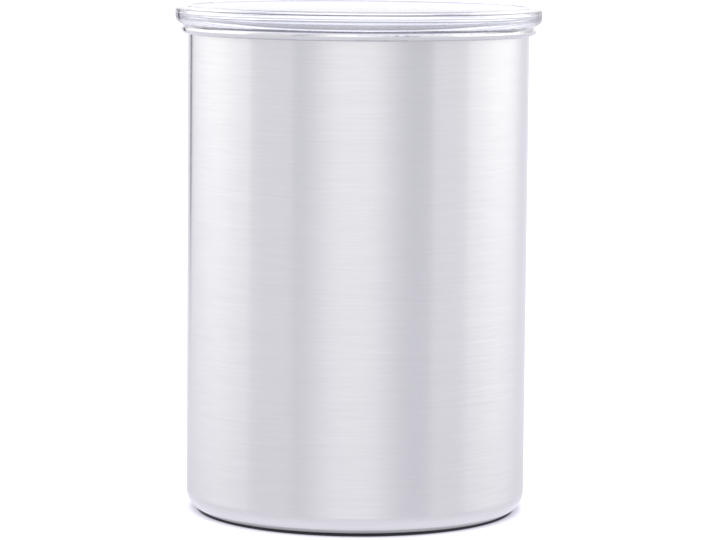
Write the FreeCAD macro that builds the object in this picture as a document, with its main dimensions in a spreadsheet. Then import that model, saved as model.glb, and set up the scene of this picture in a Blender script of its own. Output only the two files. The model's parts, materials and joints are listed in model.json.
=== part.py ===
import FreeCAD, Part

import math
import os
import re

import Sketcher

# A steel coffee canister. A drawn can with a rolled rim carries a clear press-on lid. Inside
# it runs a plunger with a lip gasket, a folding bail handle and a vent valve: folded, the
# handle lets the spring shut the valve, and upright, its cam presses the valve open.
# Millimetres, +Z up, origin in the middle of the underside. The handle turns about X and
# folds towards -Y.

SIZES = (
    # drawn can
    ("can_radius", 60.3, "outside of the wall"),
    ("can_height", 172.3, "top of the rolled rim"),
    ("can_wall", 0.6, "sheet thickness"),
    ("curl_diameter", 3.1, "thickness of the rolled rim"),
    ("curl_gap", 0.2, "between the tucked edge of the roll and the wall"),
    ("base_corner", 6.5, "outside bend between wall and base"),
    ("foot_width", 6.7, "flat ring that the can stands on"),
    ("panel_rise", 1.2, "how far the middle of the base is raised"),
    ("panel_slope", 3.0, "width of the step round the raised middle"),
    # clear lid
    ("lid_overhang", 4.5, "flange beyond the can's wall"),
    ("lid_flange_height", 5.7, "underside to top of the flange"),
    ("lid_flange_round", 3.0, "lower outer edge of the flange"),
    ("lid_rim_round", 0.7, "upper outer edge of the flange"),
    ("lid_ledge", 3.8, "flange outside the raised panel"),
    ("lid_panel_rise", 0.65, "panel above the flange"),
    ("lid_panel_wall", 2.35, "thickness of the panel"),
    ("lid_lip_height", 0.25, "lip round the panel, above it"),
    ("lid_lip_width", 1.0, "top of the lip"),
    ("lid_lip_slope", 0.2, "inner flank of the lip"),
    ("lid_lip_round", 0.15, "outer edge of the lip"),
    ("lid_plug_depth", 8.0, "plug below the flange"),
    ("lid_plug_wall", 1.8, "thickness of the plug"),
    ("lid_plug_round", 1.2, "inside corner between plug and panel"),
    ("lid_plug_chamfer", 0.6, "lead-in at the foot of the plug"),
    ("lid_plug_clearance", 0.3, "plug to the inside of the can"),
    ("lid_seat_gap", 0.1, "flange above the rolled rim"),
    # plunger disc
    ("plunger_height", 28.0, "foot to top of the plunger's rim"),
    ("plunger_clearance", 1.0, "guide flanges to the inside of the can"),
    ("plunger_wall", 2.4, "rim behind the gasket"),
    ("plunger_chamfer", 0.8, "lead-in at the foot of the plunger"),
    ("web_level", 8.0, "underside of the web above the foot"),
    ("web_wall", 2.4, "thickness of the web"),
    ("web_round", 3.0, "inside corner between web and rim"),
    ("groove_depth", 3.2, "gasket groove"),
    ("groove_height", 9.0, "gasket groove"),
    ("guide_height", 3.0, "each flange beside the groove"),
    # gasket
    ("gasket_clearance", 0.3, "lips to the inside of the can"),
    ("gasket_fit", 0.05, "gasket to its groove"),
    ("gasket_wall", 2.0, "band that the lips stand on"),
    ("lip_start", 1.0, "foot of the band to the lower lip"),
    ("lip_pitch", 4.2, "lower lip to upper lip"),
    ("lip_root", 1.5, "thickness of a lip at the band"),
    ("lip_tip", 0.7, "thickness of a lip at its edge"),
    ("lip_rise", 1.2, "how far a lip slants upward"),
    # valve housing
    ("housing_radius", 9.8, "spigot through the web"),
    ("housing_fit", 0.1, "spigot to the disc, washer and nut"),
    ("housing_flange_width", 3.7, "flange beyond the spigot"),
    ("housing_flange_wall", 2.0, "thickness of the flange"),
    ("housing_round", 0.6, "edge of the flange"),
    ("spigot_proud", 1.0, "valve seat below the nut"),
    ("pocket_depth", 4.0, "spring pocket below the flange's top"),
    ("vent_radius", 1.2, "vent hole"),
    ("vent_wall", 1.0, "between the spring pocket and the vents"),
    ("washer_wall", 1.0, "washer below the flange"),
    ("washer_inset", 0.6, "washer's edge inside the flange's edge"),
    ("nut_wall", 3.5, "thickness of the nut"),
    ("nut_ring", 3.2, "nut's flats beyond the spigot"),
    # valve
    ("stem_radius", 2.0, "stem in its guide"),
    ("stem_clearance", 0.06, "stem to its guide"),
    ("stem_fit", 0.03, "stem to the pieces fixed on it"),
    ("head_inset", 0.4, "poppet's edge inside the spigot's edge"),
    ("head_wall", 1.5, "thickness of the poppet head"),
    ("head_round", 0.7, "lower edge of the poppet head"),
    ("seal_wall", 1.2, "thickness of the valve's washer"),
    ("seat_gap", 0.1, "washer to its seat"),
    ("valve_lift", 2.5, "travel of the valve"),
    ("spring_wire", 0.6, "wire of the spring"),
    ("spring_play", 0.6, "spring to stem"),
    ("spring_length", 6.0, "pocket floor to button"),
    ("spring_gap", 0.1, "each end of the spring to its seat"),
    ("button_clearance", 0.5, "button to the spring pocket"),
    ("button_wall", 2.2, "button beyond the stem"),
    ("button_height", 3.2, "follower under the cam"),
    ("button_round", 0.4, "upper edge of the button"),
    ("recess_rim", 1.0, "button's rim round the clip's recess"),
    ("recess_depth", 1.4, "clip's recess in the button"),
    ("stem_inset", 0.3, "top of the stem below the button's top"),
    ("clip_wall", 0.5, "thickness of the retaining ring"),
    ("clip_width", 1.4, "band of the retaining ring"),
    ("clip_groove", 0.5, "depth of its groove in the stem"),
    ("clip_play", 0.05, "retaining ring to its groove"),
    ("clip_mouth", 70.0, "open angle of the retaining ring"),
    # handle
    ("handle_radius", 31.0, "pivot axis to the middle of the grip"),
    ("handle_width", 8.0, "grip, seen from above when folded"),
    ("handle_depth", 5.2, "grip, seen from the side when folded"),
    ("handle_round", 2.2, "edges of the grip"),
    ("handle_headroom", 2.3, "upright handle to the lid"),
    ("hub_radius", 5.2, "hub at each end of the grip"),
    ("rest_length", 12.0, "block under the folded grip, along X"),
    ("rest_width", 5.0, "block under the folded grip, along Y"),
    ("rest_gap", 0.2, "block to the folded grip"),
    ("ear_wall", 4.0, "thickness of an ear"),
    ("ear_gap", 0.4, "hub to ear"),
    ("ear_radius", 5.0, "round top of an ear"),
    ("ear_foot", 8.0, "half width of an ear at the web"),
    ("pin_radius", 1.5, "pivot pin"),
    ("pin_clearance", 0.05, "pin in its ear"),
    ("pin_fit", 0.02, "pin in its hub"),
    ("pin_bite", 5.0, "pin in its hub"),
    ("pin_proud", 0.4, "pin beyond its ear"),
    ("pin_chamfer", 0.3, "ends of the pin"),
    # cam shaft
    ("shaft_radius", 2.5, "cross shaft between the hubs"),
    ("shaft_gap", 0.1, "each end of the shaft to its hub"),
    ("tenon_side", 3.2, "square end in the hub"),
    ("tenon_length", 2.2, "square end in the hub"),
    ("tenon_fit", 0.03, "square end to its socket"),
    ("cam_radius", 4.5, "eccentric over the button"),
    ("cam_width", 9.0, "eccentric along the shaft"),
    ("cam_clearance", 0.2, "eccentric to the button"),
)
VENTS = 6
SPRING_TURNS = 4.5
NUT_SIDES = 6

doc = FreeCAD.newDocument("coffee_canister")
sheet = doc.addObject("Spreadsheet::Sheet", "sizes")
for row, (alias, value, meaning) in enumerate(SIZES, start=1):
    sheet.set(f"A{row}", meaning)
    sheet.set(f"B{row}", str(value))
    sheet.setAlias(f"B{row}", alias)
doc.recompute()
ALIASES = {alias for alias, value, meaning in SIZES}

# Levels and radii that several pieces share, as expressions of the sizes above. Those of the
# plunger and its valve are heights above the plunger's foot.
can_bore = "(can_radius - can_wall)"
foot_outside = "(can_radius - base_corner)"
foot_inside = f"({foot_outside} - foot_width)"
base_panel = f"({foot_inside} - panel_slope)"
lid_radius = "(can_radius + lid_overhang)"
lid_panel = f"({lid_radius} - lid_ledge)"
lid_seat = "(can_height + lid_seat_gap)"
lid_crest = f"({lid_seat} + lid_flange_height)"
lid_panel_top = f"({lid_crest} + lid_panel_rise)"
lid_top = f"({lid_panel_top} + lid_lip_height)"
lid_ceiling = f"({lid_panel_top} - lid_panel_wall)"
guide_radius = f"({can_bore} - plunger_clearance)"
groove_radius = f"({guide_radius} - groove_depth)"
dish_radius = f"({groove_radius} - plunger_wall)"
web_top = "(web_level + web_wall)"
web_middle = "(web_level + web_wall / 2)"
flange_foot = f"({web_top} + washer_wall)"
flange_top = f"({flange_foot} + housing_flange_wall)"
flange_radius = "(housing_radius + housing_flange_width)"
pocket_floor = f"({flange_top} - pocket_depth)"
button_radius = "(stem_radius + button_wall)"
pocket_radius = f"({button_radius} + button_clearance)"
vent_circle = f"({pocket_radius} + vent_wall + vent_radius)"
valve_seat = "(web_level - nut_wall - spigot_proud)"
seal_top = f"({valve_seat} - seat_gap)"
seal_foot = f"({seal_top} - seal_wall)"
head_foot = f"({seal_foot} - head_wall)"
head_radius = "(housing_radius - head_inset)"
button_foot = f"({pocket_floor} + spring_length)"
button_top = f"({button_foot} + button_height)"
recess_floor = f"({button_top} - recess_depth)"
stem_top = f"({button_top} - stem_inset)"
groove_core = "(stem_radius - clip_groove)"
pivot_level = f"({button_top} + cam_clearance + cam_radius - valve_lift / 2)"
hub_inside = "(handle_radius - handle_width / 2)"
hub_outside = "(handle_radius + handle_width / 2)"
shaft_half = f"(sqrt({hub_inside} ^ 2 - shaft_radius ^ 2) - shaft_gap)"
ear_inside = f"({hub_outside} + ear_gap)"
pin_start = f"({hub_outside} - pin_bite)"
pin_end = f"({ear_inside} + ear_wall + pin_proud)"
plunger_foot = f"({lid_ceiling} - handle_headroom - {hub_outside} - {pivot_level})"
pivot_height = f"({plunger_foot} + {pivot_level})"

LEFT, RIGHT = 1, -1
pieces = []


def tied(expression):
    """The expression with each size's name pointing at its cell in the sheet."""
    return re.sub(
        "[a-z_]+",
        lambda word: f"sizes.{word[0]}" if word[0] in ALIASES else word[0],
        expression,
    )


def size(expression):
    """What an expression measures now."""
    return float(sheet.evalExpression(tied(expression)))


def bind(item, **sizes):
    """Tie properties of an object to expressions."""
    for name, expression in sizes.items():
        item.setExpression(name, tied(expression))


def place(item, x="0", z="0"):
    """Tie where an object stands to expressions."""
    item.setExpression("Placement.Base.x", tied(x))
    item.setExpression("Placement.Base.z", tied(z))


def finished(item, label):
    """Name a whole piece and note it for the hand-over."""
    item.Label = label
    pieces.append(item)
    return item


def new_body(label, level="0"):
    """An empty body whose own zero lies at this level."""
    body = doc.addObject("PartDesign::Body", label)
    place(body, z=level)
    return finished(body, label)


def origin_of(body, role):
    return next(item for item in body.Origin.OriginFeatures if item.Role == role)


def new_sketch(body, name, role, offset="0"):
    """A sketch on one of the body's own planes, moved along the plane's normal."""
    sketch = body.newObject("Sketcher::SketchObject", name)
    sketch.AttachmentSupport = [(origin_of(body, role), "")]
    sketch.MapMode = "FlatFace"
    sketch.setExpression("AttachmentOffset.Base.z", tied(offset))
    return sketch


def drive(sketch, kind, expression, *where):
    """Add a dimension to a sketch and tie it to an expression."""
    index = sketch.addConstraint(Sketcher.Constraint(kind, *where, size(expression)))
    sketch.setExpression(f"Constraints[{index}]", tied(expression))


def pin_point(sketch, shape, end, across, up):
    """Fix a point of a sketch by its distances from the origin."""
    for kind, axis, expression in (("DistanceX", -2, across), ("DistanceY", -1, up)):
        if expression == "0":
            sketch.addConstraint(Sketcher.Constraint("PointOnObject", shape, end, axis))
        else:
            drive(sketch, kind, expression, -1, 1, shape, end)


def outline(sketch, *steps):
    """A closed outline. A step is (across, up), or (across, up, radius, turn) at an arc's end."""
    corners = [FreeCAD.Vector(size(step[0]), size(step[1]), 0) for step in steps]
    ends = []
    for number, step in enumerate(steps):
        start = corners[number - 1]
        goal = corners[number]
        if len(step) == 2:
            shape = sketch.addGeometry(Part.LineSegment(start, goal), False)
            ends.append((shape, 1, 2))
            continue
        radius = size(step[2])
        chord = goal - start
        reach = math.sqrt(radius ** 2 - (chord.Length / 2) ** 2) * step[3] / chord.Length
        centre = (start + goal) / 2 + FreeCAD.Vector(-chord.y, chord.x, 0) * reach
        first, last = (start, goal) if step[3] == LEFT else (goal, start)
        first_angle = math.atan2(first.y - centre.y, first.x - centre.x)
        last_angle = math.atan2(last.y - centre.y, last.x - centre.x)
        ring = Part.Circle(centre, FreeCAD.Vector(0, 0, 1), radius)
        shape = sketch.addGeometry(Part.ArcOfCircle(ring, first_angle, last_angle), False)
        ends.append((shape, 1, 2) if step[3] == LEFT else (shape, 2, 1))
    for number, step in enumerate(steps):
        shape, start, goal = ends[number]
        following, following_start, _ = ends[(number + 1) % len(steps)]
        sketch.addConstraint(
            Sketcher.Constraint("Coincident", shape, goal, following, following_start)
        )
        pin_point(sketch, shape, goal, step[0], step[1])
        if len(step) > 2:
            drive(sketch, "Radius", step[2], shape)


def circle(sketch, across, up, radius):
    """A circle, fixed by its centre and radius."""
    centre = FreeCAD.Vector(size(across), size(up), 0)
    ring = Part.Circle(centre, FreeCAD.Vector(0, 0, 1), size(radius))
    shape = sketch.addGeometry(ring, False)
    pin_point(sketch, shape, 3, across, up)
    drive(sketch, "Radius", radius, shape)


def turned(body, name, *steps, angle=360, reverse=False):
    """Turn an outline of (radius, height) steps about the body's Z axis."""
    sketch = new_sketch(body, f"{name}_outline", "XZ_Plane")
    outline(sketch, *steps)
    turn = body.newObject("PartDesign::Revolution", name)
    turn.Profile = sketch
    turn.ReferenceAxis = (sketch, ["V_Axis"])
    turn.Angle = angle
    turn.Reversed = reverse
    return turn


def padded(body, name, sketch, length):
    """Raise a sketch along its normal."""
    pad = body.newObject("PartDesign::Pad", name)
    pad.Profile = sketch
    bind(pad, Length=length)
    return pad


def mirrored(body, name, *features):
    """Repeat features on the other side of the body's YZ plane."""
    mirror = body.newObject("PartDesign::Mirrored", name)
    mirror.Originals = list(features)
    mirror.MirrorPlane = (origin_of(body, "YZ_Plane"), [""])
    body.Tip = mirror
    return mirror


def cylinder(name, radius, height):
    rod = doc.addObject("Part::Cylinder", name)
    bind(rod, Radius=radius, Height=height)
    return rod


def cut(name, base, tool):
    difference = doc.addObject("Part::Cut", name)
    difference.Base = base
    difference.Tool = tool
    return difference


def along_x(item, x, z):
    """Lay a primitive that stands along Z on the X axis, starting at x."""
    item.Placement.Rotation = FreeCAD.Rotation(FreeCAD.Vector(0, 1, 0), 90)
    place(item, x=x, z=z)
    return item


def can_body():
    """Deep-drawn shell: raised base, rounded corner, straight wall and outward rolled rim."""
    roll = "(curl_diameter / 2)"
    hollow = "(curl_diameter / 2 - can_wall)"
    centre = f"({can_bore} + {roll})"
    level = f"(can_height - {roll})"
    tuck = f"({centre} - can_radius - curl_gap)"
    drop = f"sqrt({roll} ^ 2 - {tuck} ^ 2)"
    bend = "(base_corner - can_wall)"
    turned(
        new_body("can_body"),
        "can_shell",
        ("0", "panel_rise"),
        (base_panel, "panel_rise"),
        (foot_inside, "0"),
        (foot_outside, "0"),
        ("can_radius", "base_corner", "base_corner", LEFT),
        ("can_radius", level),
        (centre, f"{level} + {hollow}", hollow, RIGHT),
        (f"{centre} + {hollow}", level, hollow, RIGHT),
        (centre, f"{level} - {hollow}", hollow, RIGHT),
        (
            f"{centre} - {tuck} * {hollow} / {roll}",
            f"{level} - {drop} * {hollow} / {roll}",
            hollow,
            RIGHT,
        ),
        (f"{centre} - {tuck}", f"{level} - {drop}"),
        (centre, f"{level} - {roll}", roll, LEFT),
        (f"{centre} + {roll}", level, roll, LEFT),
        (centre, "can_height", roll, LEFT),
        (can_bore, level, roll, LEFT),
        (can_bore, "base_corner"),
        (foot_outside, "can_wall", bend, RIGHT),
        (foot_inside, "can_wall"),
        (base_panel, "panel_rise + can_wall"),
        ("0", "panel_rise + can_wall"),
    )


def outer_lid():
    """Clear moulding: panel, thick flange over the rolled rim, and a plug inside the can."""
    plug_outside = f"({can_bore} - lid_plug_clearance)"
    plug_inside = f"({plug_outside} - lid_plug_wall)"
    plug_foot = f"({lid_seat} - lid_plug_depth)"
    turned(
        new_body("outer_lid"),
        "lid_moulding",
        ("0", lid_ceiling),
        (f"{plug_inside} - lid_plug_round", lid_ceiling),
        (plug_inside, f"{lid_ceiling} - lid_plug_round", "lid_plug_round", RIGHT),
        (plug_inside, plug_foot),
        (f"{plug_outside} - lid_plug_chamfer", plug_foot),
        (plug_outside, f"{plug_foot} + lid_plug_chamfer"),
        (plug_outside, lid_seat),
        (f"{lid_radius} - lid_flange_round", lid_seat),
        (lid_radius, f"{lid_seat} + lid_flange_round", "lid_flange_round", LEFT),
        (lid_radius, f"{lid_crest} - lid_rim_round"),
        (f"{lid_radius} - lid_rim_round", lid_crest, "lid_rim_round", LEFT),
        (lid_panel, lid_crest),
        (lid_panel, f"{lid_top} - lid_lip_round"),
        (f"{lid_panel} - lid_lip_round", lid_top, "lid_lip_round", LEFT),
        (f"{lid_panel} - lid_lip_width", lid_top),
        (f"{lid_panel} - lid_lip_width - lid_lip_slope", lid_panel_top),
        ("0", lid_panel_top),
    )


def plunger_disc():
    """Dished inner lid with its gasket groove, two ears for the handle and a block under it."""
    body = new_body("plunger_disc", plunger_foot)
    mouth = "(housing_radius + housing_fit)"
    groove_foot = "guide_height"
    groove_top = "(guide_height + groove_height)"
    guide_top = f"({groove_top} + guide_height)"
    crest = "(plunger_wall / 2)"
    turned(
        body,
        "dish",
        (mouth, "web_level"),
        (dish_radius, "web_level"),
        (dish_radius, "0"),
        (f"{guide_radius} - plunger_chamfer", "0"),
        (guide_radius, "plunger_chamfer"),
        (guide_radius, groove_foot),
        (groove_radius, groove_foot),
        (groove_radius, groove_top),
        (guide_radius, groove_top),
        (guide_radius, guide_top),
        (groove_radius, guide_top),
        (groove_radius, f"plunger_height - {crest}"),
        (f"{dish_radius} + {crest}", "plunger_height", crest, LEFT),
        (dish_radius, f"plunger_height - {crest}", crest, LEFT),
        (dish_radius, f"{web_top} + web_round"),
        (f"{dish_radius} - web_round", web_top, "web_round", RIGHT),
        (mouth, web_top),
    )
    rest_sketch = new_sketch(body, "rest_outline", "XY_Plane", web_middle)
    outline(
        rest_sketch,
        ("-rest_length / 2", "-handle_radius - rest_width / 2"),
        ("rest_length / 2", "-handle_radius - rest_width / 2"),
        ("rest_length / 2", "-handle_radius + rest_width / 2"),
        ("-rest_length / 2", "-handle_radius + rest_width / 2"),
    )
    grip_foot = f"({pivot_level} - handle_depth / 2)"
    padded(body, "grip_rest", rest_sketch, f"{grip_foot} - rest_gap - {web_middle}")
    ear_sketch = new_sketch(body, "ear_outline", "YZ_Plane", ear_inside)
    outline(
        ear_sketch,
        ("-ear_foot", web_middle),
        ("ear_foot", web_middle),
        ("ear_radius", pivot_level),
        ("0", f"{pivot_level} + ear_radius", "ear_radius", LEFT),
        ("-ear_radius", pivot_level, "ear_radius", LEFT),
    )
    circle(ear_sketch, "0", pivot_level, "pin_radius + pin_clearance")
    ear = padded(body, "ear", ear_sketch, "ear_wall")
    mirrored(body, "ears", ear)


def plunger_gasket():
    """Soft band in the groove with two lips that wipe the inside of the can."""
    inside = f"({groove_radius} + gasket_fit)"
    band = f"({inside} + gasket_wall)"
    tip = f"({can_bore} - gasket_clearance)"
    foot = "(guide_height + gasket_fit)"
    top = "(guide_height + groove_height - gasket_fit)"
    steps = [(inside, foot), (band, foot)]
    for lip in range(2):
        root = f"({foot} + lip_start + {lip} * lip_pitch)"
        edge = f"({root} + lip_rise)"
        steps.append((band, root))
        steps.append((tip, edge))
        steps.append((tip, f"{edge} + lip_tip"))
        steps.append((band, f"{root} + lip_root"))
    steps.append((band, top))
    steps.append((inside, top))
    turned(new_body("plunger_gasket", plunger_foot), "gasket_ring", *steps)


def valve_housing():
    """Flanged bush through the web: guide bore, spring pocket, ring of vents and valve seat."""
    body = new_body("valve_housing", plunger_foot)
    bore = "(stem_radius + stem_clearance)"
    turned(
        body,
        "bush",
        (bore, valve_seat),
        ("housing_radius", valve_seat),
        ("housing_radius", flange_foot),
        (flange_radius, flange_foot),
        (flange_radius, f"{flange_top} - housing_round"),
        (f"{flange_radius} - housing_round", flange_top, "housing_round", LEFT),
        (pocket_radius, flange_top),
        (pocket_radius, pocket_floor),
        (bore, pocket_floor),
    )
    doc.recompute()
    volume = body.Shape.Volume
    vent_sketch = new_sketch(body, "vent_outline", "XY_Plane", valve_seat)
    circle(vent_sketch, vent_circle, "0", "vent_radius")
    vent = body.newObject("PartDesign::Pocket", "vent")
    vent.Profile = vent_sketch
    vent.Reversed = True
    bind(vent, Length=f"{flange_top} - {valve_seat}")
    vents = body.newObject("PartDesign::PolarPattern", "vents")
    vents.Originals = [vent]
    vents.Axis = (origin_of(body, "Z_Axis"), [""])
    vents.Angle = 360
    vents.Occurrences = VENTS
    body.Tip = vents
    doc.recompute()
    drilled = VENTS * math.pi * size("vent_radius") ** 2 * size(f"{flange_top} - {valve_seat}")
    if abs(volume - body.Shape.Volume - drilled) > 0.01 * drilled:
        raise RuntimeError("the vents don't go through the housing")


def housing_washer():
    """Soft flat washer between the housing's flange and the web."""
    bore = "(housing_radius + housing_fit)"
    edge = f"({flange_radius} - washer_inset)"
    turned(
        new_body("housing_washer", plunger_foot),
        "washer_ring",
        (bore, web_top),
        (edge, web_top),
        (edge, flange_foot),
        (bore, flange_foot),
    )


def housing_nut():
    """Hexagon nut on the spigot, clamping the web from below."""
    prism = doc.addObject("Part::Prism", "nut_blank")
    prism.Polygon = NUT_SIDES
    flat = "(housing_radius + nut_ring)"
    bind(prism, Circumradius=f"{flat} / cos(180 / {NUT_SIDES})", Height="nut_wall")
    bore = cylinder("nut_bore", "housing_radius + housing_fit", "nut_wall")
    nut = cut("housing_nut", prism, bore)
    place(nut, z=f"{plunger_foot} + web_level - nut_wall")
    finished(nut, "housing_nut")


def valve_stem():
    """Poppet head and stem, with the retaining ring's groove near the top."""
    groove_top = f"({recess_floor} + clip_wall + 2 * clip_play)"
    turned(
        new_body("valve_stem", plunger_foot),
        "poppet",
        ("0", head_foot),
        (f"{head_radius} - head_round", head_foot),
        (head_radius, f"{head_foot} + head_round", "head_round", LEFT),
        (head_radius, seal_foot),
        ("stem_radius", seal_foot),
        ("stem_radius", recess_floor),
        (groove_core, recess_floor),
        (groove_core, groove_top),
        ("stem_radius", groove_top),
        ("stem_radius", stem_top),
        ("0", stem_top),
    )


def valve_seal():
    """Soft washer on the poppet head."""
    bore = "(stem_radius + stem_fit)"
    turned(
        new_body("valve_seal", plunger_foot),
        "seal_ring",
        (bore, seal_foot),
        (head_radius, seal_foot),
        (head_radius, seal_top),
        (bore, seal_top),
    )


def valve_button():
    """Follower on the stem, hollowed on top for the retaining ring."""
    bore = "(stem_radius + stem_fit)"
    recess = f"({button_radius} - recess_rim)"
    turned(
        new_body("valve_button", plunger_foot),
        "follower",
        (bore, button_foot),
        (button_radius, button_foot),
        (button_radius, f"{button_top} - button_round"),
        (f"{button_radius} - button_round", button_top, "button_round", LEFT),
        (recess, button_top),
        (recess, recess_floor),
        (bore, recess_floor),
    )


def stem_clip():
    """Open retaining ring in the stem's groove, on the floor of the button's recess."""
    inside = f"({groove_core} + clip_play)"
    blank = cylinder("clip_blank", f"{inside} + clip_width", "clip_wall")
    bind(blank, Angle="360 - clip_mouth")
    core = cylinder("clip_core", inside, "clip_wall")
    clip = cut("stem_clip", blank, core)
    place(clip, z=f"{plunger_foot} + {recess_floor} + clip_play")
    finished(clip, "stem_clip")


def biarc(start, start_way, goal, goal_way):
    """Two arcs that join at one tangent, from a point and heading to another."""
    span = goal - start
    ways = start_way + goal_way
    bend = 1 - start_way.dot(goal_way)
    along = span.dot(ways)
    reach = (math.sqrt(along ** 2 + 2 * bend * span.dot(span)) - along) / (2 * bend)
    start_knee = start + start_way * reach
    goal_knee = goal - goal_way * reach
    middle = (start_knee + goal_knee) / 2
    return [arc_by_knee(start, start_knee, middle), arc_by_knee(middle, goal_knee, goal)]


def arc_by_knee(start, knee, goal):
    """The arc that touches both legs of a knee at their ends."""
    foot = (start + goal) / 2
    turn = math.atan2((knee - foot).Length, (goal - start).Length / 2)
    crest = foot + (knee - foot) * (math.tan(turn / 2) / math.tan(turn))
    return Part.Arc(start, crest, goal).toShape()


def valve_spring():
    """Open-ended coil round the stem, between the pocket's floor and the button."""
    wire = size("spring_wire")
    radius = size("stem_radius + spring_play + spring_wire / 2")
    first = size(f"{pocket_floor} + spring_gap + spring_wire / 2")
    rise = size("spring_length - 2 * spring_gap - spring_wire")
    climb = rise / (SPRING_TURNS * 2 * math.pi)

    def point(angle):
        return FreeCAD.Vector(
            radius * math.cos(angle), radius * math.sin(angle), first + climb * angle
        )

    def heading(angle):
        way = FreeCAD.Vector(-radius * math.sin(angle), radius * math.cos(angle), climb)
        return way.normalize()

    quarters = round(SPRING_TURNS * 4)
    edges = []
    for quarter in range(quarters):
        start = quarter * math.pi / 2
        goal = start + math.pi / 2
        edges += biarc(point(start), heading(start), point(goal), heading(goal))
    path = Part.Wire(edges)
    section = Part.Wire(Part.Circle(point(0), heading(0), wire / 2).toShape())
    coil = path.makePipeShell([section], True, False)
    spring = doc.addObject("Part::Feature", "valve_spring")
    spring.Shape = coil
    place(spring, z=plunger_foot)
    finished(spring, "valve_spring")
    points_per_turn = 72
    count = round(SPRING_TURNS * points_per_turn) + 1
    points = [point(2 * math.pi * number / points_per_turn) for number in range(count)]
    gap = min(
        (points[low] - points[high]).Length
        for low in range(count)
        for high in range(low + points_per_turn // 2, count)
    )
    solid_volume = math.pi * (wire / 2) ** 2 * path.Length
    print(f"spring: gap to itself {gap - wire:.2f} mm, "
          f"volume {spring.Shape.Volume / solid_volume:.4f} of section times length")


def bail_handle():
    """Half-ring grip with a hub at each end: pin bore outside, square socket inside."""
    body = new_body("bail_handle", pivot_height)
    half_depth = "handle_depth / 2"
    flat = f"({half_depth} - handle_round)"
    inner = f"({hub_inside} + handle_round)"
    outer = f"({hub_outside} - handle_round)"
    turned(
        body,
        "grip",
        (inner, f"-{half_depth}", "handle_round", LEFT),
        (outer, f"-{half_depth}"),
        (hub_outside, f"-{flat}", "handle_round", LEFT),
        (hub_outside, flat),
        (outer, half_depth, "handle_round", LEFT),
        (inner, half_depth),
        (hub_inside, flat, "handle_round", LEFT),
        (hub_inside, f"-{flat}"),
        angle=180,
        reverse=True,
    )
    hub_sketch = new_sketch(body, "hub_outline", "YZ_Plane", hub_inside)
    circle(hub_sketch, "0", "0", "hub_radius")
    hub = padded(body, "hub", hub_sketch, "handle_width")
    bore_sketch = new_sketch(body, "pin_bore_outline", "YZ_Plane", pin_start)
    circle(bore_sketch, "0", "0", "pin_radius + pin_fit")
    bore = body.newObject("PartDesign::Pocket", "pin_bore")
    bore.Profile = bore_sketch
    bore.Reversed = True
    bind(bore, Length="pin_bite")
    socket_sketch = new_sketch(body, "socket_outline", "YZ_Plane", shaft_half)
    half = "(tenon_side / 2 + tenon_fit)"
    outline(
        socket_sketch,
        (f"-{half}", f"-{half}"),
        (half, f"-{half}"),
        (half, half),
        (f"-{half}", half),
    )
    socket = body.newObject("PartDesign::Pocket", "socket")
    socket.Profile = socket_sketch
    socket.Reversed = True
    bind(socket, Length="tenon_length + shaft_gap")
    mirrored(body, "hubs", hub, bore, socket)


def cam_shaft():
    """Cross shaft with square ends, and the eccentric that presses the button."""
    bar = cylinder("shaft_bar", "shaft_radius", f"2 * {shaft_half}")
    along_x(bar, f"-{shaft_half}", "0")
    tenons = doc.addObject("Part::Box", "shaft_tenons")
    bind(
        tenons,
        Length=f"2 * ({shaft_half} + tenon_length)",
        Width="tenon_side",
        Height="tenon_side",
    )
    place(tenons, x=f"-{shaft_half} - tenon_length", z="-tenon_side / 2")
    tenons.setExpression("Placement.Base.y", tied("-tenon_side / 2"))
    cam = cylinder("eccentric", "cam_radius", "cam_width")
    along_x(cam, "-cam_width / 2", "valve_lift / 2")
    cam.setExpression("Placement.Base.y", tied("valve_lift / 2"))
    shaft = doc.addObject("Part::MultiFuse", "cam_shaft")
    shaft.Shapes = [bar, tenons, cam]
    place(shaft, z=pivot_height)
    finished(shaft, "cam_shaft")


def pivot_pins():
    """Steel pins pressed into the hubs, turning in the ears."""
    length = f"({pin_end} - {pin_start})"
    for side, start in (("right", pin_start), ("left", f"-{pin_end}")):
        pin = new_body(f"pivot_pin_{side}")
        turned(
            pin,
            f"pin_{side}",
            ("0", "0"),
            ("pin_radius - pin_chamfer", "0"),
            ("pin_radius", "pin_chamfer"),
            ("pin_radius", f"{length} - pin_chamfer"),
            ("pin_radius - pin_chamfer", length),
            ("0", length),
        )
        along_x(pin, start, pivot_height)


can_body()
outer_lid()
plunger_disc()
plunger_gasket()
valve_housing()
housing_washer()
housing_nut()
valve_stem()
valve_seal()
valve_button()
stem_clip()
valve_spring()
bail_handle()
cam_shaft()
pivot_pins()
doc.recompute()

for item in doc.Objects:
    if "Invalid" in item.State or "Error" in item.State:
        raise RuntimeError(f"{item.Label} failed: {item.State}")
for piece in pieces:
    shape = piece.Shape
    if shape.isNull() or not shape.isValid() or len(shape.Solids) != 1:
        raise RuntimeError(f"{piece.Label} is not one valid solid")

os.makedirs("parts", exist_ok=True)
for piece in pieces:
    piece.Shape.exportStep(f"parts/{piece.Label}.step")
    box = piece.Shape.BoundBox
    print(f"{piece.Label}: {piece.Shape.Volume:.1f} mm3, z {box.ZMin:.2f} to {box.ZMax:.2f}, "
          f"x {box.XMin:.2f} to {box.XMax:.2f}")
print(f"plunger foot at {size(plunger_foot):.2f}, pivot at {size(pivot_height):.2f}, "
      f"pocket floor at {size(f'{plunger_foot} + {pocket_floor}'):.2f}")
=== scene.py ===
# %% [markdown]
# # A brushed-steel coffee canister
# The canister is a drawn steel can with a rolled rim and a clear press-on lid. Inside it runs a
# plunger: a dark dished disc with a silicone gasket, a vent valve in its middle and a folding
# handle whose cam opens the valve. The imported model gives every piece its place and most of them
# their shape. This lesson gives them their finishes, turns the clear lid again in finer steps,
# moulds the soft rings with rounded edges, winds the spring and sets up the studio.

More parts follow.
